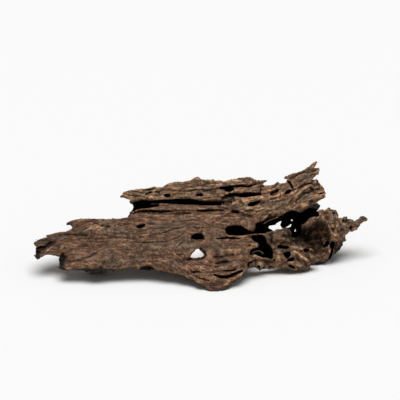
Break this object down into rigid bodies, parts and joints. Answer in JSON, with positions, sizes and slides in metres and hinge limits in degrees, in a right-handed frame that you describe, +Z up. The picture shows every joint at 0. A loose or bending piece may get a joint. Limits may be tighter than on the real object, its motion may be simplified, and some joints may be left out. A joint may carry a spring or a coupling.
{
  "type": "mangrove driftwood",
  "caption": "Long hollow piece of weathered mangrove wood that lies on its underside, with a leaning front slab, a raised spike and a hollow burl at one end.",
  "frame": {"origin": "middle of the wood's length and depth, on the surface that it lies on", "axes": "+X along the wood from the broken end to the spur, +Y from the front foot to the back, +Z up"},
  "size_m": [0.4666, 0.2024, 0.12],
  "materials": {
    "slab_wood": "weathered, bare, brown with grey ridges and near-black cracks, rough",
    "limb_wood": "weathered, bare, grey-brown with furrowed grain, rough",
    "root_wood": "weathered, bare, dark brown with orange-brown breaks, rough"
  },
  "bodies": {
    "root": {"front_slab": "slab_wood", "upper_limb": "limb_wood", "hollow_root": "root_wood"}
  },
  "joints": []
}
